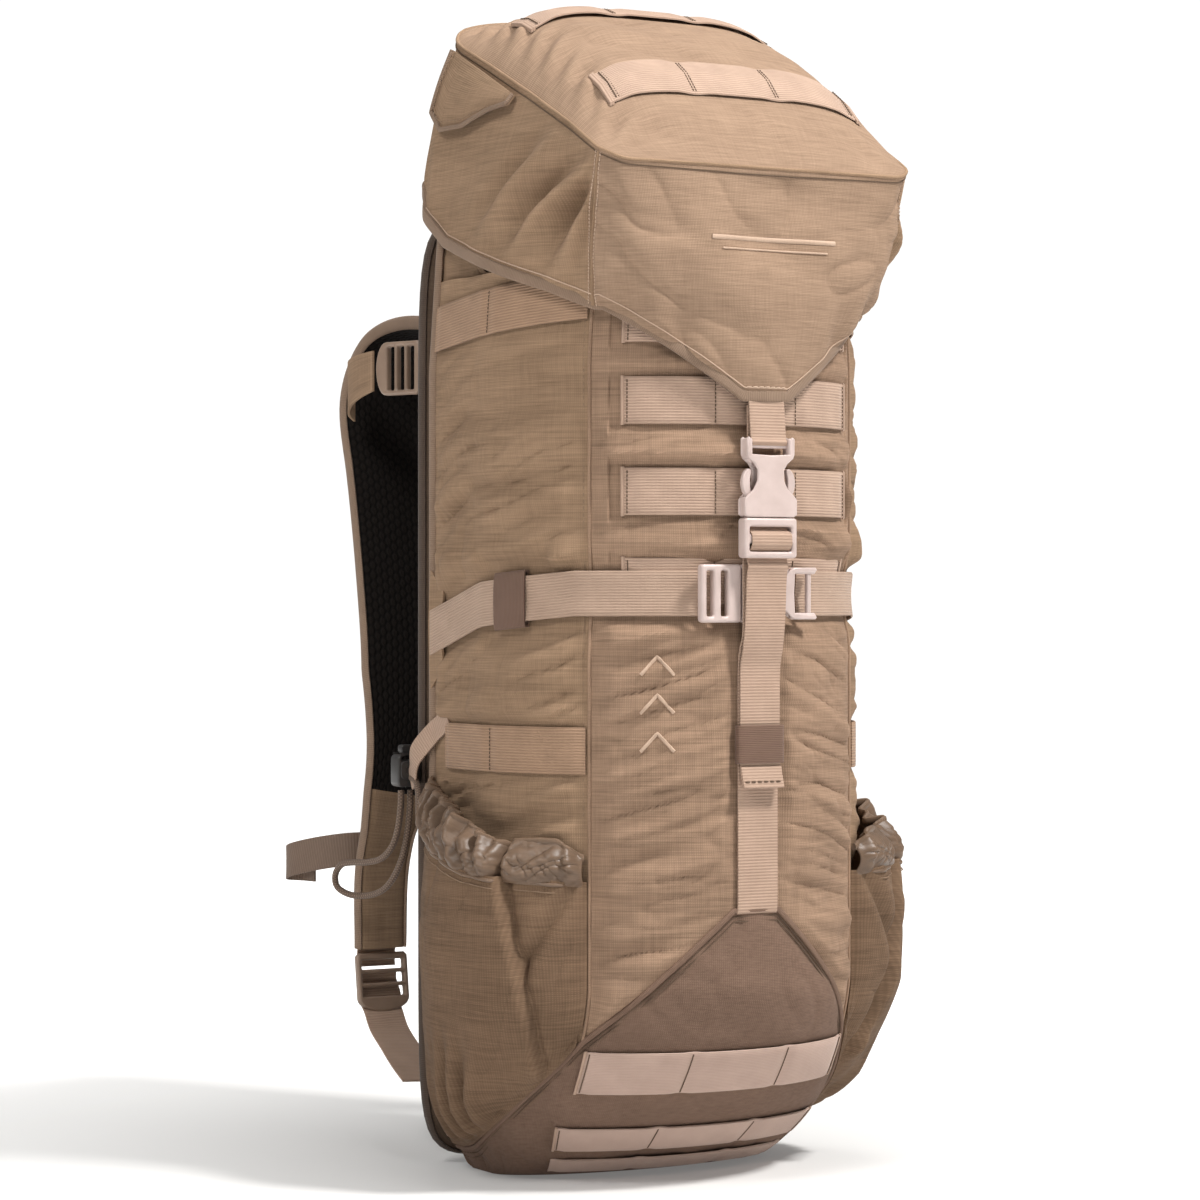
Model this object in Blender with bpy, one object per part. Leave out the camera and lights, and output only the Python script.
"""A top-loading hunting backpack: bag, lid, pockets, frame, harness and hardware.

Metres. +Z is up, +Y points at the wearer, and the buckle face looks along -Y. Depth d is counted from the
front face of the bag towards the wearer, so Y = d + FRONT_Y. The pack stands on its base at Z = 0.
"""

import math

import bmesh
import bpy
from mathutils import Matrix, Vector
from mathutils.bvhtree import BVHTree

# ---------------------------------------------------------------- driving dimensions
FRONT_Y = -0.1612  # Y of the bag's front face
BAG_DEPTH = 0.165  # front face to back wall
BAG_HALF_WIDTH = 0.115
SIDE_START = 0.110  # depth where the rounded front becomes a flat side
BAG_TOP = 0.512
CLOTH = 0.0022  # thickness of a coated fabric panel
SEAM_GAP = 0.0005
WEB = 0.026  # width of the webbing
WEB_THICK = 0.0012
LAYER_GAP = 0.0007
LID_LIFT = 0.0021  # clearance under what is sewn to the lid
LID_ROW_HALF = 0.080
HEM_OUTLINE_HEIGHT = 0.490
ABOVE_ALL = 0.8

NOSE_HEIGHT = 0.115  # height where the front starts to curve under
NOSE_RETREAT = 0.112  # how far the front has gone back at the floor
NOSE_POWER = 1.5
ROW_TURN = 0.31  # wrap position of the ends of the front webbing rows
SIDE_SHARE = 0.72  # share of the wrap, from the front centre, that is the rounded front
SEAM_TURN_GAP = 0.002
SEAM_TURN = 0.384  # wrap position of the seam between front and side panels
LID_TILT_HINGE = (0.178, 0.562)  # depth and height of the lid's hinge line
ZIP_START = (-0.084, 0.1816, 0.614)  # X, depth and height of the zip slider when the lid pocket is shut

BUCKLE_WIDTH = 0.034
BUCKLE_THICK = 0.008
BUCKLE_BACK = -0.0074  # depth of the vertical buckle's rear face
CINCH_HEIGHT = 0.3326
CINCH_BUCKLE = (0.032, 0.0052)  # width and thickness
CINCH_BACK = 0.0002  # depth of the cinch buckle's rear face
CINCH_MOUTH = -0.0120  # X where its two halves meet
SQUEEZE = 0.0042  # how far the cinch strap pulls the bag in
SQUEEZE_REACH = 0.032  # half the height of the pulled-in band

CLOTH_TAN = (0.305, 0.205, 0.130)
WEB_TAN = (0.400, 0.265, 0.185)
PLASTIC_TAN = (0.420, 0.290, 0.220)
DARK_TAN = (0.200, 0.140, 0.095)
MESH_BLACK = (0.020, 0.018, 0.017)


# ---------------------------------------------------------------- helpers
def clear_scene():
    for obj in list(bpy.data.objects):
        bpy.data.objects.remove(obj)


def material(name, colour, roughness, metallic=0.0):
    made = bpy.data.materials.new(name)
    made.use_nodes = True
    shader = made.node_tree.nodes["Principled BSDF"]
    shader.inputs["Base Color"].default_value = (*colour, 1.0)
    shader.inputs["Roughness"].default_value = roughness
    shader.inputs["Metallic"].default_value = metallic
    return made


def at(x, depth, z):
    return Vector((x, depth + FRONT_Y, z))


def interpolate(value, knots):
    """Linear interpolation in a short list of (place, value) knots."""
    if value <= knots[0][0]:
        return knots[0][1]
    for (a, low), (b, high) in zip(knots, knots[1:]):
        if value <= b:
            return low + (high - low) * (value - a) / (b - a)
    return knots[-1][1]


def spaced(low, high, count):
    return [low + (high - low) * i / (count - 1) for i in range(count)]


def finish_mesh(name, bm, mat, parent=None, smooth_angle=40.0):
    """Cleans a bmesh, faces it outwards and links it as an object."""
    bmesh.ops.remove_doubles(bm, verts=bm.verts, dist=1e-6)
    bmesh.ops.recalc_face_normals(bm, faces=bm.faces)
    mesh = bpy.data.meshes.new(name)
    bm.to_mesh(mesh)
    bm.free()
    mesh.shade_smooth()
    mesh.set_sharp_from_angle(angle=math.radians(smooth_angle))
    obj = bpy.data.objects.new(name, mesh)
    obj.data.materials.append(mat)
    bpy.context.scene.collection.objects.link(obj)
    if parent is not None:
        obj.parent = parent
        obj.matrix_parent_inverse = parent.matrix_world.inverted()
    return obj


def empty_at(name, place):
    empty = bpy.data.objects.new(name, None)
    empty.location = place
    bpy.context.scene.collection.objects.link(empty)
    bpy.context.view_layer.update()
    return empty


def grid_normals(grid, closed=False):
    """Unit normals of a grid of points: across each row, then up the rows."""
    rows, columns = len(grid), len(grid[0])
    normals = []
    for i in range(rows):
        line = []
        for j in range(columns):
            if closed:
                before, after = grid[i][j - 1], grid[i][(j + 1) % columns]
            else:
                before, after = grid[i][max(j - 1, 0)], grid[i][min(j + 1, columns - 1)]
            below, above = grid[max(i - 1, 0)][j], grid[min(i + 1, rows - 1)][j]
            line.append((after - before).cross(above - below).normalized())
        normals.append(line)
    return normals


def offset_grid(grid, distance, closed=False):
    normals = grid_normals(grid, closed)
    return [
        [p + n * distance for p, n in zip(row, row_normals)]
        for row, row_normals in zip(grid, normals)
    ]


def slab_mesh(outer, inner, closed=False, cap_last=False):
    """A closed shell between two matching grids.

    closed joins each row's ends, and cap_last fills the last row.
    """
    bm = bmesh.new()
    skins = [[[bm.verts.new(p) for p in row] for row in grid] for grid in (outer, inner)]
    rows, columns = len(outer), len(outer[0])
    across = columns if closed else columns - 1
    for skin in skins:
        for i in range(rows - 1):
            for j in range(across):
                k = (j + 1) % columns
                bm.faces.new((skin[i][j], skin[i][k], skin[i + 1][k], skin[i + 1][j]))
    a, b = skins
    rims = [0] if cap_last else [0, rows - 1]
    for i in rims:
        for j in range(across):
            k = (j + 1) % columns
            bm.faces.new((a[i][j], a[i][k], b[i][k], b[i][j]))
    if not closed:
        for j in (0, columns - 1):
            for i in range(rows - 1):
                bm.faces.new((a[i][j], a[i + 1][j], b[i + 1][j], b[i][j]))
    if cap_last:
        for skin in skins:
            bm.faces.new(skin[-1])
    return bm


def sheet(name, grid, lift, thickness, mat, parent=None):
    """A sheet of cloth or webbing that lies lift above a grid of surface points."""
    low = offset_grid(grid, lift)
    high = offset_grid(grid, lift + thickness)
    return finish_mesh(name, slab_mesh(high, low), mat, parent)


def ribbon(name, path, width, thickness, across, mat, parent=None):
    """Webbing along a path. across is the direction of its width, or a list with one for each point."""
    directions = across if isinstance(across, list) else [across] * len(path)
    grid = [[p - c * (width / 2), p + c * (width / 2)] for p, c in zip(path, directions)]
    high = offset_grid(grid, thickness / 2)
    low = offset_grid(grid, -thickness / 2)
    return finish_mesh(name, slab_mesh(high, low), mat, parent)


def smooth_path(points, steps):
    """A Catmull-Rom curve through the points, with the given number of steps in each stretch."""
    ends = [points[0] * 2 - points[1], *points, points[-1] * 2 - points[-2]]
    made = []
    for i in range(1, len(ends) - 2):
        a, b, c, d = ends[i - 1 : i + 3]
        for k in range(steps):
            t = k / steps
            bend = (2 * a - 5 * b + 4 * c - d) * t * t + (3 * b - a - 3 * c + d) * t**3
            made.append(0.5 * (2 * b + (c - a) * t + bend))
    return [*made, points[-1].copy()]


def box_solid(name, add, cut, mat, place=None, parent=None):
    """A solid made of boxes less boxes, each ((x0, x1), (y0, y1), (z0, z1)) in the piece's own frame."""
    lines = [sorted({v for box in add + cut for v in box[k]}) for k in range(3)]

    def inside(boxes, centre):
        return any(all(b[k][0] < centre[k] < b[k][1] for k in range(3)) for b in boxes)

    sizes = [len(line) - 1 for line in lines]
    filled = {}
    for i in range(sizes[0]):
        for j in range(sizes[1]):
            for k in range(sizes[2]):
                centre = [(lines[m][n] + lines[m][n + 1]) / 2 for m, n in enumerate((i, j, k))]
                filled[i, j, k] = inside(add, centre) and not inside(cut, centre)
    bm = bmesh.new()
    verts = {}

    def vert(i, j, k):
        key = (i, j, k)
        if key not in verts:
            verts[key] = bm.verts.new((lines[0][i], lines[1][j], lines[2][k]))
        return verts[key]

    corners = ((0, 0), (1, 0), (1, 1), (0, 1))
    for cell, solid in filled.items():
        if not solid:
            continue
        for axis in range(3):
            for side in (0, 1):
                beyond = list(cell)
                beyond[axis] += 1 if side else -1
                if filled.get(tuple(beyond)):
                    continue
                loop = []
                for u, v in corners:
                    place_in = list(cell)
                    place_in[axis] += side
                    place_in[(axis + 1) % 3] += u
                    place_in[(axis + 2) % 3] += v
                    loop.append(vert(*place_in))
                bm.faces.new(loop if side else loop[::-1])
    bmesh.ops.dissolve_limit(
        bm, angle_limit=math.radians(1), verts=bm.verts, edges=bm.edges, delimit={"NORMAL"}
    )
    bmesh.ops.triangulate(bm, faces=bm.faces)
    if place is not None:
        bm.transform(place)
    return finish_mesh(name, bm, mat, parent, smooth_angle=25.0)


def pad_solid(name, centre, half, crown, mat, columns=7, rows=7, corner=0.25, parent=None):
    """A foam pad: a rounded rectangle in X and Z, flat towards -Y and crowned towards +Y."""
    bm = bmesh.new()

    def rim(u, v):
        # squares the circle a little less at the corners
        pull = 1 - corner * (u * u * v * v) ** 0.75
        return centre.x + half[0] * u * pull, centre.z + half[2] * v * pull

    skins = []
    for face in (0, 1):
        skin = []
        for i in range(rows):
            v = 2 * i / (rows - 1) - 1
            line = []
            for j in range(columns):
                u = 2 * j / (columns - 1) - 1
                x, z = rim(u, v)
                swell = (1 - abs(u) ** 3) * (1 - abs(v) ** 3)
                y = centre.y - half[1]
                if face == 1:
                    y = centre.y + half[1] * (1 - crown) + 2 * half[1] * crown * swell
                line.append(bm.verts.new((x, y, z)))
            skin.append(line)
        skins.append(skin)
    for skin in skins:
        for i in range(rows - 1):
            for j in range(columns - 1):
                bm.faces.new((skin[i][j], skin[i][j + 1], skin[i + 1][j + 1], skin[i + 1][j]))
    a, b = skins
    for i in (0, rows - 1):
        for j in range(columns - 1):
            bm.faces.new((a[i][j], a[i][j + 1], b[i][j + 1], b[i][j]))
    for j in (0, columns - 1):
        for i in range(rows - 1):
            bm.faces.new((a[i][j], a[i + 1][j], b[i + 1][j], b[i][j]))
    return finish_mesh(name, bm, mat, parent)


# ---------------------------------------------------------------- the bag's outer surface
def nose_factor(z):
    """1 on the upright part of the front, falling to 0 at the floor."""
    if z >= NOSE_HEIGHT:
        return 1.0
    rise = (NOSE_HEIGHT - z) / NOSE_HEIGHT
    return max(0.0, 1 - rise**NOSE_POWER) ** (1 / NOSE_POWER)


def half_width(z):
    foot = 1 - 0.22 * max(0.0, 1 - z / 0.062) ** 2
    taper = interpolate(z, [(0.46, 1.0), (0.52, 0.965), (0.56, 0.94)])
    return BAG_HALF_WIDTH * foot * taper


def strap_height(turn):
    """Height of the cinch strap's centre round the bag: level at the front, lower at the rear edge."""
    heights = [(0.42, CINCH_HEIGHT), (0.70, CINCH_HEIGHT - 0.006), (1.0, CINCH_HEIGHT - 0.023)]
    return interpolate(abs(turn), heights)


def bag_point(turn, z):
    """A point of the bag's surface. turn runs from -1 at the left rear corner over 0 to 1."""
    share = abs(turn)
    away = (z - strap_height(turn)) / SQUEEZE_REACH
    pulled = SQUEEZE * max(0.0, 1 - away * away) ** 2 * (1 - share**3)
    factor = nose_factor(z)
    front = (1 - factor) * NOSE_RETREAT + pulled
    side = SIDE_START + (1 - factor) * 0.032
    width = half_width(z) - pulled
    if share <= SIDE_SHARE:
        angle = share / SIDE_SHARE * math.pi / 2
        x = width * math.sin(angle)
        depth = side - (side - front) * math.cos(angle)
    else:
        x = width
        depth = side + (BAG_DEPTH - side) * (share - SIDE_SHARE) / (1 - SIDE_SHARE)
    return at(math.copysign(x, turn), depth, z)


def boot_edge(turn):
    """Height of the boot's upper edge: level under the strap, then down to the rear in two slopes."""
    share = abs(turn)
    if share <= SEAM_TURN:
        return interpolate(share, [(0.056, 0.158), (SEAM_TURN, 0.085)])
    run = (share - SEAM_TURN) / (1 - SEAM_TURN)
    return 0.014 + (0.085 - 0.014) * (1 - run) ** 3


def bag_normal(turn, z):
    """The bag's outward direction at a point of its surface."""
    step = 0.0015
    across = bag_point(min(turn + 0.01, 1), z) - bag_point(max(turn - 0.01, -1), z)
    along = bag_point(turn, max(z, 0) + step) - bag_point(turn, max(z - step, 0))
    return across.cross(along).normalized()


def surface_patch(turns, heights, lift=0.0):
    """Rows of points lift above the bag. Each height is a number or a function of turn."""
    patch = []
    for height in heights:
        row = []
        for t in turns:
            z = height(t) if callable(height) else height
            row.append(bag_point(t, z) + bag_normal(t, z) * lift)
        patch.append(row)
    return patch


def between(low, high, shares):
    """Heights at shares of the way between two edges, each a number or a function of turn."""
    value = lambda edge, t: edge(t) if callable(edge) else edge
    return [lambda t, f=f: value(low, t) + (value(high, t) - value(low, t)) * f for f in shares]


def layer(name, turns, heights, lift, thickness, mat, parent=None):
    """A sheet that follows the bag, lift above its surface."""
    inner = surface_patch(turns, heights, lift)
    outer = surface_patch(turns, heights, lift + thickness)
    return finish_mesh(name, slab_mesh(outer, inner), mat, parent)


def web_heights(centre):
    """The edges and the middle of a webbing whose centre height is a number or a function of turn."""
    middle = (lambda t: centre) if not callable(centre) else centre
    return [lambda t, e=e: middle(t) + e for e in (-WEB / 2, 0.0, WEB / 2)]


# ---------------------------------------------------------------- the bag
def build_bag(mats):
    cloth = mats["cloth"]
    above_boot = lambda t: boot_edge(t) + SEAM_GAP
    front_half = [0.056, *spaced(0.056, SEAM_TURN - SEAM_TURN_GAP, 6)[1:]]
    side_half = spaced(SEAM_TURN + SEAM_TURN_GAP, 0.998, 10)
    front_turns = [-t for t in front_half[::-1]] + [0.0] + front_half
    pulled = (-1.0, -0.72, -0.36, 0.0, 0.36, 0.72, 1.0)
    band = [lambda t, e=e: strap_height(t) + e * SQUEEZE_REACH for e in pulled]
    below = between(above_boot, band[0], (0.33, 0.67))
    heights = [above_boot, *below, *band, *between(band[-1], BAG_TOP, (0.5, 1))]
    layer("front_panel", front_turns, heights, -CLOTH, CLOTH, cloth)
    for side, sign in (("left", -1), ("right", 1)):
        turns = sorted(sign * t for t in side_half)
        layer(f"side_panel_{side}", turns, heights, -CLOTH, CLOTH, cloth)

    boot_half = front_half + side_half
    boot_turns = [-t for t in boot_half[::-1]] + [0.0] + boot_half
    shares = [1 - math.cos(f * math.pi / 2) ** (2 / NOSE_POWER) for f in spaced(0, 1, 8)]
    layer("boot_panel", boot_turns, between(0.0, boot_edge, shares), -CLOTH, CLOTH, cloth)

    # The base plate lies inside the boot's lowest ring.
    ring = [bag_point(t, 0.0) for t in spaced(-0.99, 0.99, 19)]
    middle = at(0, BAG_DEPTH - 0.02, 0)
    outline = [middle + (p - middle) * 0.93 for p in ring]
    grid = [[Vector((p.x, p.y, z)) for p in outline] for z in (0.0, 0.0022)]
    bm = bmesh.new()
    rows = [[bm.verts.new(p) for p in row] for row in grid]
    for j in range(len(outline)):
        k = (j + 1) % len(outline)
        bm.faces.new((rows[0][j], rows[0][k], rows[1][k], rows[1][j]))
    bm.faces.new(rows[0][::-1])
    bm.faces.new(rows[1])
    finish_mesh("base_panel", bm, cloth)

    back = [
        [at(x * half_width(z) * 0.995, BAG_DEPTH + SEAM_GAP, z) for x in spaced(-1, 1, 3)]
        for z in spaced(0.012, BAG_TOP + 0.03, 8)
    ]
    outer = [[p + Vector((0, CLOTH, 0)) for p in row] for row in back]
    finish_mesh("rear_panel", slab_mesh(outer, back), cloth)

    collar_turns = spaced(0, 2 * math.pi, 25)[:-1]
    collar = [
        [at(a * math.sin(t), 0.088 - b * math.cos(t), z) for t in collar_turns]
        for z, a, b in ((0.496, 0.1035, 0.0735), (0.515, 0.100, 0.0735), (0.541, 0.094, 0.068))
    ]
    inner = offset_grid(collar, -0.0014, closed=True)
    finish_mesh("snow_collar", slab_mesh(collar, inner, closed=True), mats["lining"])


def build_pockets(mats):
    swell = [(0, 0.0), (0.12, 0.014), (0.4, 0.033), (0.7, 0.036), (1, 0.026)]
    mouth = 0.200
    for side, sign in (("left", -1), ("right", 1)):
        turns = spaced(SEAM_TURN + 0.012, 0.985, 13)
        turns = turns if sign > 0 else [-t for t in turns[::-1]]
        grid = surface_patch(turns, between(lambda t: boot_edge(t) + 0.003, mouth, spaced(0, 1, 9)))
        normals = grid_normals(grid)
        shell = []
        for row, row_normals, f in zip(grid, normals, spaced(0, 1, 9)):
            line = []
            for p, n, t in zip(row, row_normals, turns):
                along = (abs(t) - SEAM_TURN - 0.012) / (0.985 - SEAM_TURN - 0.012)
                bulge = interpolate(f, swell) * math.sin(math.pi * along) ** 0.75
                line.append(p + n * (LAYER_GAP + bulge))
            shell.append(line)
        sheet(f"side_pocket_{side}", shell, 0.0, 0.0020, mats["cloth"])


def build_frame(mats):
    def plate(name, x, depth, z, mat):
        box_solid(name, [(x, (depth[0] + FRONT_Y, depth[1] + FRONT_Y), z)], [], mat)

    plate("frame_sheet", (-0.098, 0.098), (0.1683, 0.1703), (0.020, 0.548), mats["plastic_dark"])
    plate("stay_left", (-0.051, -0.039), (0.1707, 0.1737), (0.035, 0.535), mats["alloy"])
    plate("stay_right", (0.039, 0.051), (0.1707, 0.1737), (0.035, 0.535), mats["alloy"])
    pad_solid("back_pad", at(0, 0.1880, 0.279), (0.111, 0.0138, 0.274), 0.12, mats["cloth"], 9, 13, 0.06)
    half = (0.088, 0.0050, 0.092)
    pad_solid("shoulder_mesh_pad", at(0, 0.2105, 0.362), half, 0.25, mats["mesh"], 7, 9)
    pad_solid("lumbar_mesh_pad", at(0, 0.2112, 0.135), (0.092, 0.0058, 0.095), 0.35, mats["mesh"], 7, 9)


# ---------------------------------------------------------------- the lid
def lid_outlines():
    """The lid's top edge and hem from above, as matching half outlines from the front centre."""
    top, hem = [], []
    front, corner, rear_corner = 0.101, 0.014, 0.016
    for x in spaced(0, front - corner, 6):
        top.append((x, -0.009))
    for angle in (30, 60):
        a = math.radians(angle)
        top.append((front - corner + corner * math.sin(a), -0.009 + corner * (1 - math.cos(a))))
    for f in spaced(0, 1, 8):
        top.append((front + 0.002 * f, -0.009 + corner + (0.180 - corner - rear_corner) * f))
    for angle in (30, 60):
        a = math.radians(angle)
        top.append((0.103 - rear_corner * (1 - math.cos(a)), 0.171 - rear_corner * (1 - math.sin(a))))
    for x in spaced(0.103 - rear_corner, 0, 4):
        top.append((x, 0.171))
    for turn in [*spaced(0, 0.35, 8), *spaced(0.39, 0.97, 8)]:
        clearance = interpolate(turn, [(0, 0.0105), (0.35, 0.0065)])
        p = bag_point(turn, HEM_OUTLINE_HEIGHT) + bag_normal(turn, HEM_OUTLINE_HEIGHT) * clearance
        hem.append((p.x + 0.004 * turn, p.y - FRONT_Y))
    hem += [(0.1185, 0.1690), (0.1150, 0.1755)]
    for x in spaced(0.104, 0, 4):
        hem.append((x, 0.1775))
    return top, hem


def lid_crown(x, depth):
    """Height of the lid's top surface."""
    edge = 0.567 + (0.655 - 0.567) * (depth + 0.009) / 0.180
    heights = [
        (-0.009, 0.567), (0.008, 0.594), (0.031, 0.620),
        (0.075, 0.650), (0.120, 0.668), (0.171, 0.667),
    ]
    centre = interpolate(depth, heights)
    return edge + (centre - edge) * max(0.0, 1 - (abs(x) / 0.104) ** 4.5)


def lid_hem(x, depth):
    """Height of the lid's lower edge: the pointed front flap, the rising sides and the hinge line."""
    if depth < 0.028:
        return interpolate(abs(x), [(0.014, 0.438), (0.083, 0.488)])
    rise = [(0.028, 0.488), (0.050, 0.499), (0.136, 0.529), (0.165, 0.550), (0.176, 0.566)]
    return interpolate(depth, rise)


def build_lid(mats, lid):
    top, hem = ([(-x, d) for x, d in half[:0:-1]] + half[:-1] for half in lid_outlines())
    rings = []
    for f in (0.0, 0.25, 0.5, 0.75, 0.93, 1.0):  # from the hem up to the piped edge
        ring = []
        belly = 0.0035 * math.sin(math.pi * f)
        for (tx, td), (hx, hd) in zip(top, hem):
            x, d = hx + (tx - hx) * f, hd + (td - hd) * f
            out = Vector((x, d - 0.085, 0)).normalized() * belly
            low, high = lid_hem(hx, hd), lid_crown(tx, td) - 0.001
            ring.append(at(x + out.x, d + out.y, low + (high - low) * f))
        rings.append(ring)
    for shrink in (0.95, 0.86, 0.74, 0.58, 0.38, 0.16):
        ring = []
        for tx, td in top:
            x, d = tx * shrink, 0.081 + (td - 0.081) * shrink
            ring.append(at(x, d, lid_crown(x, d)))
        rings.append(ring)
    inner = offset_grid(rings, -0.0024, closed=True)
    mesh = slab_mesh(rings, inner, closed=True, cap_last=True)
    shell = finish_mesh("lid_shell", mesh, mats["cloth"], lid)
    surface = BVHTree.FromPolygons(
        [v.co.copy() for v in shell.data.vertices], [list(f.vertices) for f in shell.data.polygons]
    )

    floor = []
    for f in spaced(0, 1, 4):
        w, d, z = 0.090 + 0.016 * f, 0.000 + 0.164 * f, 0.549 + 0.026 * f
        floor.append([at(x, d, z) for x in spaced(-w, w, 3)])
    low = [[p - Vector((0, 0, 0.0016)) for p in row] for row in floor]
    finish_mesh("lid_floor", slab_mesh(floor, low), mats["lining"], lid)

    def draped(grid, towards):
        """The grid carried along a direction onto the shell and lifted off it again."""
        return [[surface.ray_cast(p, towards)[0] - towards * LID_LIFT for p in row] for row in grid]

    down = Vector((0, 0, -1))
    for name, depth in (("lid_webbing_front", 0.031), ("lid_webbing_rear", 0.120)):
        half = WEB / 2 * 0.85
        places = spaced(-LID_ROW_HALF, LID_ROW_HALF, 15)
        grid = [[at(x, d, ABOVE_ALL) for x in places] for d in (depth - half, depth, depth + half)]
        low = draped(grid, down)
        high = [[p - down * WEB_THICK for p in row] for row in low]
        finish_mesh(name, slab_mesh(high, low), mats["webbing"], lid)

    inward = Vector((1, 0, 0))
    drops = [(0, 0.034), (0.2, 0.039), (0.5, 0.029), (0.8, 0.012), (1, 0.003)]
    grid = []
    for f in spaced(0, 1, 4):
        row = []
        for g in spaced(0, 1, 8):
            d = 0.156 - 0.072 * g
            row.append(at(-0.3, d, lid_crown(0.103, d) - 0.006 - interpolate(g, drops) * (1 - f)))
        grid.append(row)
    low = draped(grid, inward)
    high = [[p - inward * 0.0016 for p in row] for row in low]
    finish_mesh("zip_storm_flap", slab_mesh(high, low), mats["cloth"], lid)

    forward = Vector((0, -1, 0))
    grid = [[at(x, 0.3, z) for x in spaced(-0.090, 0.090, 7)] for z in (0.606, 0.614, 0.622)]
    low = draped(grid, forward)
    high = [[p - forward * 0.0012 for p in row] for row in low]
    finish_mesh("lid_zip", slab_mesh(high, low), mats["plastic_dark"], lid)


def build_zip_slider(mats, slider):
    x, y, z = ZIP_START
    y += FRONT_Y
    body = [((x - 0.004, x + 0.004), (y, y + 0.004), (z - 0.0055, z + 0.0055))]
    pull = [((x - 0.0016, x + 0.0016), (y + 0.0018, y + 0.0036), (z - 0.034, z - 0.0050))]
    box_solid("zip_slider", body + pull, [], mats["alloy"], None, slider)


# ---------------------------------------------------------------- side-release buckle
def socket_boxes(width, thick, length):
    """The female half. Its mouth is at z = 0 and its webbing bar at the top."""
    w, t = width / 2, thick
    wall = 0.0016
    waist = 0.0095
    mouth, shoulder = 0.014, 0.031
    add = [
        ((-w, w), (0, t), (0, mouth)),
        ((-waist, waist), (0, t), (mouth, shoulder)),
        ((-w + 0.002, w - 0.002), (0.001, t - 0.001), (shoulder, length)),
    ]
    cut = [
        ((-w + wall, w - wall), (wall, t - wall), (-0.001, mouth)),
        ((-waist - 0.001, waist + 0.001), (wall, t - wall), (-0.001, shoulder - 0.003)),
        ((-w + 0.0045, w - 0.0045), (-0.001, t + 0.001), (shoulder + 0.0025, length - 0.0035)),
    ]
    return add, cut


def tongue_boxes(width, thick, length, reach):
    """The male half: a ladder frame below z = 0, and two prongs and a guide that reach up."""
    w, t = width / 2, thick
    low, high = 0.0022, t - 0.0022
    add = [
        ((-w, w), (0, t), (-length, -0.0004)),
        ((-w + 0.0024, -w + 0.0062), (low, high), (-0.001, reach)),
        ((w - 0.0062, w - 0.0024), (low, high), (-0.001, reach)),
        ((-0.0014, 0.0014), (low, high), (-0.001, reach - 0.004)),
    ]
    bar = 0.0034
    slots = (-length + 0.0030, -length + 0.0030 + bar + 0.0036)
    cut = [((-w + 0.003, w - 0.003), (-0.001, t + 0.001), (z, z + 0.0036)) for z in slots]
    return add, cut


def ladder_boxes(width, thick, length):
    """A ladder-lock buckle: a frame with two bars, and a solid lip at its lower end."""
    w = width / 2
    add = [((-w, w), (0, thick), (0, length))]
    slot = (length - 0.0125) / 3
    starts = [0.0065 + i * (slot + 0.0022) for i in range(3)]
    cut = [((-w + 0.003, w - 0.003), (-0.001, thick + 0.001), (z, z + slot)) for z in starts]
    return add, cut


def build_front_strap(mats, lid, tongue, keeper):
    web, plastic = mats["webbing"], mats["plastic"]
    x_axis = Vector((-1, 0, 0))
    centre = BUCKLE_BACK - BUCKLE_THICK / 2

    lid_strap = [at(0, centre + 0.0012, 0.4367), at(0, centre + 0.0004, 0.428), at(0, centre, 0.4195)]
    ribbon("lid_strap", lid_strap, WEB - 0.003, WEB_THICK, x_axis, web, lid)

    socket_place = Matrix.Translation(at(0, BUCKLE_BACK - BUCKLE_THICK, 0.3745))
    add, cut = socket_boxes(BUCKLE_WIDTH, BUCKLE_THICK, 0.044)
    box_solid("buckle_socket", add, cut, plastic, socket_place, lid)
    add, cut = tongue_boxes(BUCKLE_WIDTH, BUCKLE_THICK, 0.0225, 0.0265)
    box_solid("buckle_tongue", add, cut, plastic, socket_place, tongue)

    # The fixed layer comes up from the boot, over the cinch buckle, and ends behind the tongue.
    fixed = [
        at(0, BUCKLE_BACK + 0.0012, 0.368),
        at(0, BUCKLE_BACK + 0.0012, 0.312),
        at(0, -0.0030, 0.302),
        at(0, -0.0012, 0.2925),
        at(0, -0.0012, 0.1635),
    ]
    ribbon("front_strap", fixed, WEB, WEB_THICK, x_axis, web)
    tail = [
        at(0, BUCKLE_BACK - BUCKLE_THICK - 0.0012, 0.3640),
        at(0, BUCKLE_BACK - BUCKLE_THICK - 0.0012, 0.3500),
        at(0, -0.0105, 0.342),
        at(0, -0.0088, 0.316),
        at(0, -0.0064, 0.302),
        at(0, -0.0036, 0.2910),
        at(0, -0.0036, 0.240),
        at(0, -0.0060, 0.226),
    ]
    ribbon("strap_tail", tail, WEB, WEB_THICK, x_axis, web, tongue)

    low, high = 0.239, 0.260
    x, near, far = WEB / 2 + 0.0008, -0.0003 + FRONT_Y, -0.0047 + FRONT_Y
    wall = 0.0010
    ring = [((-x - wall, x + wall), (far - wall, near), (low, high))]
    bore = [((-x, x), (far, near - 0.0002), (low - 0.001, high + 0.001))]
    box_solid("strap_keeper", ring, bore, mats["elastic"], None, keeper)


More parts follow.
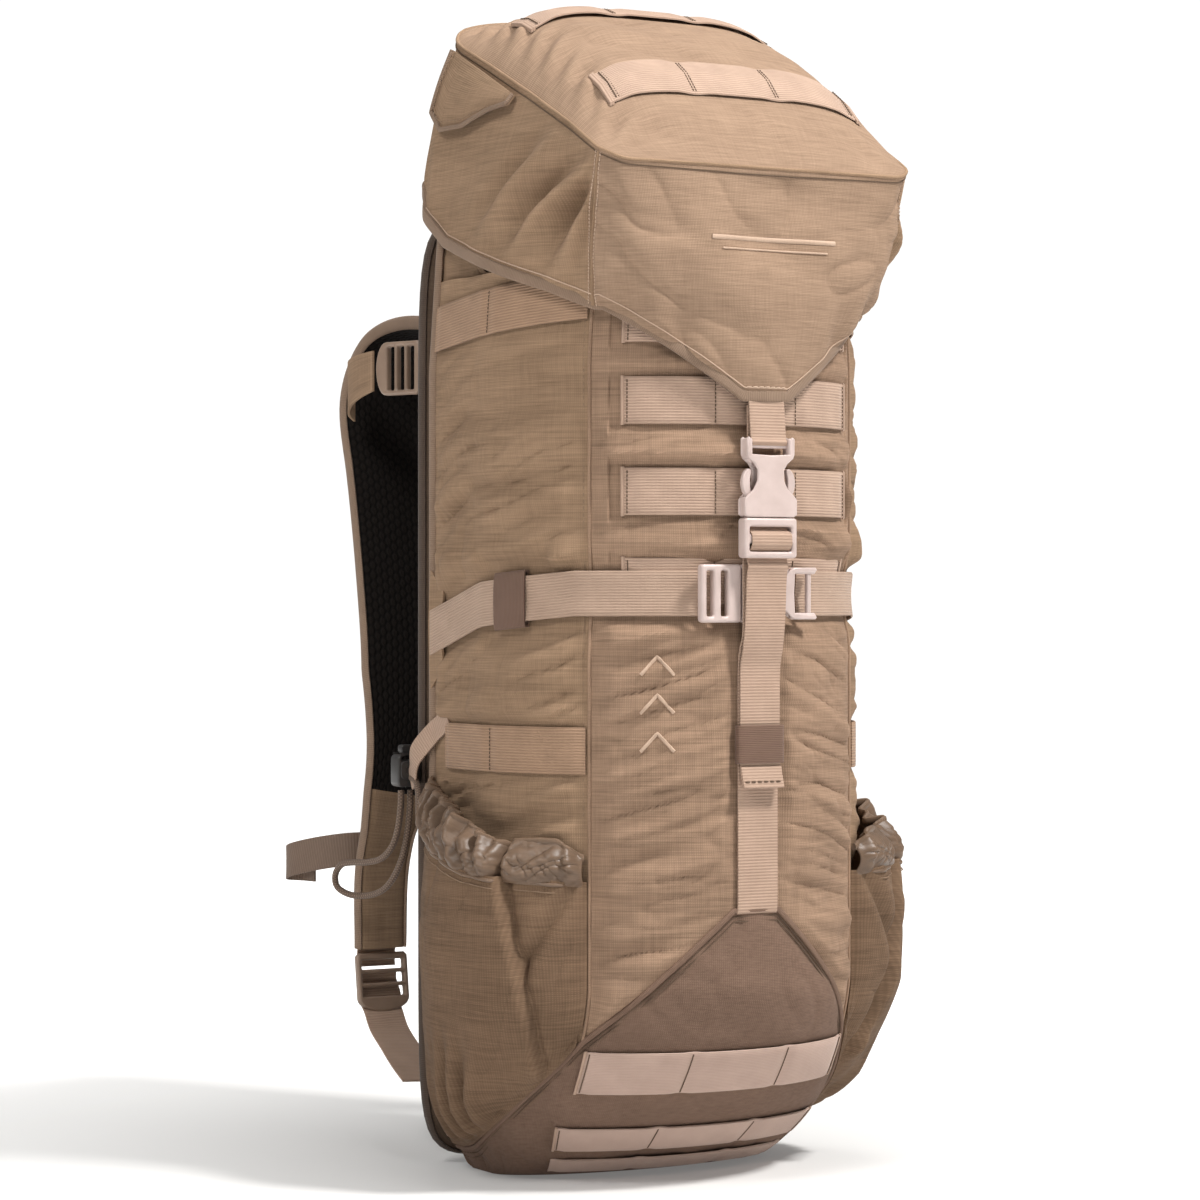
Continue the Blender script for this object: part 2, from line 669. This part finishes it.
def build_cinch(mats, tongue, keeper):
    web, plastic = mats["webbing"], mats["plastic"]

    for side, turns in (("left", spaced(-0.985, -0.120, 17)), ("right", spaced(0.120, 0.985, 17))):
        layer(f"cinch_strap_{side}", turns, web_heights(strap_height), 0.0028, WEB_THICK, web)

    # The buckle lies across the front, its tongue on the left and its socket on the right.
    wide, thick = CINCH_BUCKLE
    turn_over = Matrix.Rotation(math.radians(90), 4, "Y")
    place = Matrix.Translation(at(CINCH_MOUTH, CINCH_BACK - thick, CINCH_HEIGHT)) @ turn_over
    add, cut = socket_boxes(wide, thick, 0.049)
    box_solid("cinch_socket", add, cut, plastic, place)
    add, cut = tongue_boxes(wide, thick, 0.0265, 0.0265)
    box_solid("cinch_tongue", add, cut, plastic, place, tongue)

    # The elastic keeper rings the left strap a little in front of the flat of the side.
    bm = bmesh.new()
    sections = []
    tall, wall = WEB / 2 + 0.0008, 0.0010
    for t in spaced(-0.635, -0.550, 3):
        near = [bag_point(t, strap_height(t) + e) for e in (-tall, 0.0, tall)]
        out = bag_normal(t, strap_height(t))
        up = (near[-1] - near[0]).normalized()
        inner = [p + out * 0.0019 for p in near] + [p + out * 0.0053 for p in near[::-1]]
        outer = [p + out * 0.0011 for p in near] + [p + out * 0.0065 for p in near[::-1]]
        for k, move in ((0, -wall), (2, wall), (3, wall), (5, -wall)):
            outer[k] = outer[k] + up * move
        sections.append([[bm.verts.new(p) for p in ring] for ring in (outer, inner)])
    sides = len(sections[0][0])
    for a, b in zip(sections, sections[1:]):
        for ring in (0, 1):
            for k in range(sides):
                m = (k + 1) % sides
                bm.faces.new((a[ring][k], a[ring][m], b[ring][m], b[ring][k]))
    for end in (sections[0], sections[-1]):
        for k in range(sides):
            m = (k + 1) % sides
            bm.faces.new((end[0][k], end[0][m], end[1][m], end[1][k]))
    finish_mesh("cinch_keeper", bm, mats["elastic"], keeper)


def build_load_rows(mats):
    """The sewn rows of webbing that pouches are woven into."""
    web = mats["webbing"]
    front = (
        ("webbing_row_top", 0.4835),
        ("webbing_row_upper", 0.4385),
        ("webbing_row_middle", 0.3885),
        ("webbing_row_lower", 0.3395),
    )
    turns = spaced(-ROW_TURN, ROW_TURN, 13)
    for name, z in front:
        layer(name, turns, web_heights(z), LAYER_GAP, WEB_THICK, web)

    boot_rows = (("boot_webbing_upper", 0.0560, 0.0800, 0.372), ("boot_webbing_lower", 0.0205, 0.0345, 0.40))
    for name, low, high, turn in boot_rows:
        layer(name, spaced(-turn, turn, 13), between(low, high, (0, 0.5, 1)), LAYER_GAP, WEB_THICK, web)

    for side, sign in (("left", -1), ("right", 1)):
        order = slice(None) if sign > 0 else slice(None, None, -1)
        turns = [sign * t for t in spaced(SEAM_TURN + 0.01, 0.91, 11)][order]
        layer(f"side_webbing_lower_{side}", turns, web_heights(0.246), LAYER_GAP, WEB_THICK, web)
        turns = [sign * t for t in spaced(SEAM_TURN + 0.01, 0.985, 11)][order]
        rise = lambda t: interpolate(abs(t), [(0.40, 0.4965), (1.0, 0.4840)])
        layer(f"side_webbing_upper_{side}", turns, web_heights(rise), LAYER_GAP, WEB_THICK, web)


# ---------------------------------------------------------------- the harness
STRAP_ROUTE = (
    (0.045, 0.2080, 0.470),
    (0.046, 0.2360, 0.492),
    (0.048, 0.2880, 0.497),
    (0.053, 0.3220, 0.484),
    (0.058, 0.3350, 0.450),
    (0.060, 0.3180, 0.400),
    (0.066, 0.2960, 0.345),
    (0.073, 0.2760, 0.290),
    (0.080, 0.2680, 0.245),
    (0.087, 0.2720, 0.205),
    (0.091, 0.2800, 0.165),
    (0.091, 0.2820, 0.118),
)
STRAP_WIDTH = (
    (0.0, 0.056),
    (0.15, 0.060),
    (0.45, 0.066),
    (0.65, 0.062),
    (0.78, 0.042),
    (0.86, 0.032),
    (1.0, 0.030),
)
STRAP_FOAM = 0.009
STERNUM_HEIGHT = 0.178
STERNUM_DEPTH = 0.2885
STRAP_HINGE = (0.208, 0.470)  # depth and height of the line the shoulder straps are sewn along
ADJUSTER_TOP = (0.091, 0.2820, 0.1150)
LIFTER_TOP = (0.106, 0.2555, 0.467)  # where a load-lifter buckle hangs from its shoulder strap


def build_shoulder_strap(side, sign, mats, strap):
    path = smooth_path([at(sign * x, d, z) for x, d, z in STRAP_ROUTE], 3)
    tangents = [
        (path[min(i + 1, len(path) - 1)] - path[max(i - 1, 0)]).normalized() for i in range(len(path))
    ]
    grid, last = [], len(path) - 1
    for i, (p, tangent) in enumerate(zip(path, tangents)):
        across = Vector((1, 0, 0))
        across = (across - tangent * across.dot(tangent)).normalized()
        width = interpolate(i / last, STRAP_WIDTH)
        grid.append([p + across * (width * (f - 0.5)) for f in spaced(0, 1, 4)])
    high = offset_grid(grid, STRAP_FOAM / 2)
    low = offset_grid(grid, -STRAP_FOAM / 2)
    # The edges of the foam are thinner than its middle.
    for top, bottom in zip(high, low):
        for j in (0, 3):
            middle = (top[j] + bottom[j]) / 2
            top[j] = middle + (top[j] - middle) * 0.55
            bottom[j] = middle + (bottom[j] - middle) * 0.55
    finish_mesh(f"shoulder_strap_{side}", slab_mesh(high, low), mats["cloth"], strap)


def build_adjuster(side, sign, mats, adjuster):
    """The ladder lock at the foot of a shoulder strap, and the webbing from the pack's lower corner."""
    x, d, z = ADJUSTER_TOP
    add, cut = ladder_boxes(0.034, 0.0050, 0.036)
    tip = Matrix.Rotation(math.radians(-8), 4, "X")
    place = Matrix.Translation(at(sign * x, d, z)) @ tip @ Matrix.Translation((0, -0.0025, -0.036))
    box_solid(f"strap_adjuster_{side}", add, cut, mats["plastic"], place, adjuster)
    path = [
        at(sign * 0.0920, 0.2680, 0.0700),
        at(sign * 0.0945, 0.2480, 0.0610),
        at(sign * 0.0975, 0.2280, 0.0530),
        at(sign * 0.0995, 0.2090, 0.0460),
    ]
    ribbon(f"lower_webbing_{side}", path, WEB, WEB_THICK, Vector((1, 0, 0)), mats["webbing"])


def build_load_lifter(side, sign, mats, lifter):
    x, d, z = LIFTER_TOP
    splay = math.radians(19)
    # The buckle's own +Z runs back towards the pack and its width stands upright.
    lay_down = Matrix.Rotation(math.radians(90), 4, "X") @ Matrix.Rotation(math.radians(90), 4, "Z")
    outward = Matrix.Rotation(sign * -splay, 4, "Z")
    place = Matrix.Translation(at(sign * x, d, z)) @ outward @ lay_down @ Matrix.Translation((0, -0.0025, 0))
    add, cut = ladder_boxes(0.032, 0.0050, 0.036)
    box_solid(f"lifter_buckle_{side}", add, cut, mats["plastic"], place, lifter)
    web = [at(sign * 0.0880, 0.2032, z), at(sign * 0.0902, 0.2105, z), at(sign * 0.0925, 0.2180, z)]
    ribbon(f"lifter_webbing_{side}", web, WEB, WEB_THICK, Vector((0, 0, 1)), mats["webbing"])


def build_sternum(side, sign, mats, slide):
    """One half of the sternum strap, unbuckled, with its webbing folded back on itself."""
    outer = STERNUM_DEPTH
    route = [
        (0.074, outer, STERNUM_HEIGHT),
        (0.100, outer, STERNUM_HEIGHT),
        (0.113, outer + 0.0060, STERNUM_HEIGHT - 0.001),
        (0.124, outer + 0.0200, STERNUM_HEIGHT - 0.004),
        (0.131, outer + 0.0360, STERNUM_HEIGHT - 0.008),
        (0.127, outer + 0.0480, STERNUM_HEIGHT - 0.011),
        (0.117, outer + 0.0460, STERNUM_HEIGHT - 0.012),
        (0.115, outer + 0.0350, STERNUM_HEIGHT - 0.012),
    ]
    path = smooth_path([at(sign * x, d, z) for x, d, z in route], 2)
    ribbon(f"sternum_webbing_{side}", path, 0.020, WEB_THICK, Vector((0, 0, 1)), mats["webbing"], slide)


def build_haul_loop(mats):
    route = [
        (-0.042, 0.2085, 0.522),
        (-0.034, 0.2200, 0.524),
        (-0.020, 0.2340, 0.527),
        (0.000, 0.2390, 0.528),
        (0.020, 0.2340, 0.527),
        (0.034, 0.2200, 0.524),
        (0.042, 0.2085, 0.522),
    ]
    path = smooth_path([at(*p) for p in route], 2)
    ribbon("haul_loop", path, WEB, 0.0022, Vector((0, 0, 1)), mats["webbing"])


# ---------------------------------------------------------------- pocket drawcord
CORD_RADIUS = 0.0019
LOCK_CENTRE = (-0.1205, 0.1900, 0.2300)
CORD_ROUTE = (
    (-0.1235, 0.1900, 0.2185),
    (-0.1235, 0.1905, 0.2090),
    (-0.1238, 0.1935, 0.1960),
    (-0.1245, 0.2000, 0.1850),
    (-0.1255, 0.2120, 0.1775),
    (-0.1275, 0.2270, 0.1745),
    (-0.1290, 0.2420, 0.1735),
    (-0.1305, 0.2545, 0.1715),
    (-0.1310, 0.2620, 0.1650),
    (-0.1300, 0.2610, 0.1575),
    (-0.1260, 0.2510, 0.1535),
    (-0.1215, 0.2370, 0.1540),
    (-0.1190, 0.2230, 0.1580),
    (-0.1180, 0.2110, 0.1660),
    (-0.1175, 0.2010, 0.1780),
    (-0.1175, 0.1940, 0.1930),
    (-0.1175, 0.1905, 0.2080),
    (-0.1175, 0.1900, 0.2185),
)


def tube(name, points, radius, mat, resolution=2):
    """A cord as a poly curve with a round bevel and filled ends."""
    curve = bpy.data.curves.new(name, "CURVE")
    curve.dimensions = "3D"
    curve.bevel_depth = radius
    curve.bevel_resolution = resolution
    curve.use_fill_caps = True
    spline = curve.splines.new("POLY")
    spline.points.add(len(points) - 1)
    for slot, p in zip(spline.points, points):
        slot.co = (*p, 1.0)
    curve.materials.append(mat)
    obj = bpy.data.objects.new(name, curve)
    bpy.context.scene.collection.objects.link(obj)
    return obj


def build_drawcord(mats, button):
    x, d, z = LOCK_CENTRE
    y = d + FRONT_Y
    half = (0.0075, 0.0050, 0.0095)
    body = [((x - half[0], x + half[0]), (y - half[1], y + half[1]), (z - half[2], z + half[2]))]
    bore = [((x - 0.0045, x + 0.0045), (y - 0.0030, y + 0.0030), (z - 0.0010, z + half[2] + 0.001))]
    box_solid("cord_lock_body", body, bore, mats["plastic_dark"])
    plunger = [((x - 0.0041, x + 0.0041), (y - 0.0026, y + 0.0026), (z + 0.0030, z + half[2] + 0.0055))]
    box_solid("cord_lock_button", plunger, [], mats["plastic_dark"], None, button)
    tube("drawcord_loop", smooth_path([at(*p) for p in CORD_ROUTE], 2), CORD_RADIUS, mats["cord"])
    stem = [
        at(x, d - 0.0074, z - 0.004),
        at(x - 0.0010, d - 0.0150, z - 0.006),
        at(x - 0.0040, d - 0.0240, z - 0.013),
        at(x - 0.0080, d - 0.0320, z - 0.0235),
    ]
    tube("drawcord_stem", smooth_path(stem, 3), CORD_RADIUS, mats["cord"])


# ---------------------------------------------------------------- the whole pack
def main():
    clear_scene()
    mats = {
        "cloth": material("tan_cloth", CLOTH_TAN, 0.85),
        "lining": material("lining", DARK_TAN, 0.80),
        "webbing": material("webbing", WEB_TAN, 0.75),
        "elastic": material("elastic", DARK_TAN, 0.90),
        "plastic": material("buckle_plastic", PLASTIC_TAN, 0.40),
        "plastic_dark": material("dark_plastic", MESH_BLACK, 0.45),
        "mesh": material("spacer_mesh", MESH_BLACK, 0.90),
        "alloy": material("alloy", (0.55, 0.55, 0.56), 0.35, 1.0),
        "cord": material("cord", DARK_TAN, 0.80),
    }
    lid = empty_at("lid_hinge", at(0, *LID_TILT_HINGE))
    slider = empty_at("zip_slide", at(*ZIP_START))
    tongue = empty_at("buckle_release", at(0, BUCKLE_BACK, 0.3745))
    keeper = empty_at("keeper_slide", at(0, -0.002, 0.2495))
    cinch_tongue = empty_at("cinch_release", at(CINCH_MOUTH, CINCH_BACK, CINCH_HEIGHT))
    cinch_keeper = empty_at("cinch_keeper_slide", at(-0.11, 0.08, CINCH_HEIGHT))
    button = empty_at("cord_lock_press", at(*LOCK_CENTRE))

    build_bag(mats)
    build_pockets(mats)
    build_frame(mats)
    build_lid(mats, lid)
    build_zip_slider(mats, slider)
    build_front_strap(mats, lid, tongue, keeper)
    build_cinch(mats, cinch_tongue, cinch_keeper)
    build_load_rows(mats)
    for side, sign in (("left", -1), ("right", 1)):
        strap = empty_at(f"shoulder_swing_{side}", at(sign * 0.045, *STRAP_HINGE))
        adjuster = empty_at(f"adjuster_tilt_{side}", at(sign * ADJUSTER_TOP[0], *ADJUSTER_TOP[1:]))
        lifter = empty_at(f"lifter_tilt_{side}", at(sign * LIFTER_TOP[0], *LIFTER_TOP[1:]))
        slide = empty_at(f"sternum_slide_{side}", at(sign * 0.088, STERNUM_DEPTH, STERNUM_HEIGHT))
        build_shoulder_strap(side, sign, mats, strap)
        build_adjuster(side, sign, mats, adjuster)
        build_load_lifter(side, sign, mats, lifter)
        build_sternum(side, sign, mats, slide)
    build_haul_loop(mats)
    build_drawcord(mats, button)


main()
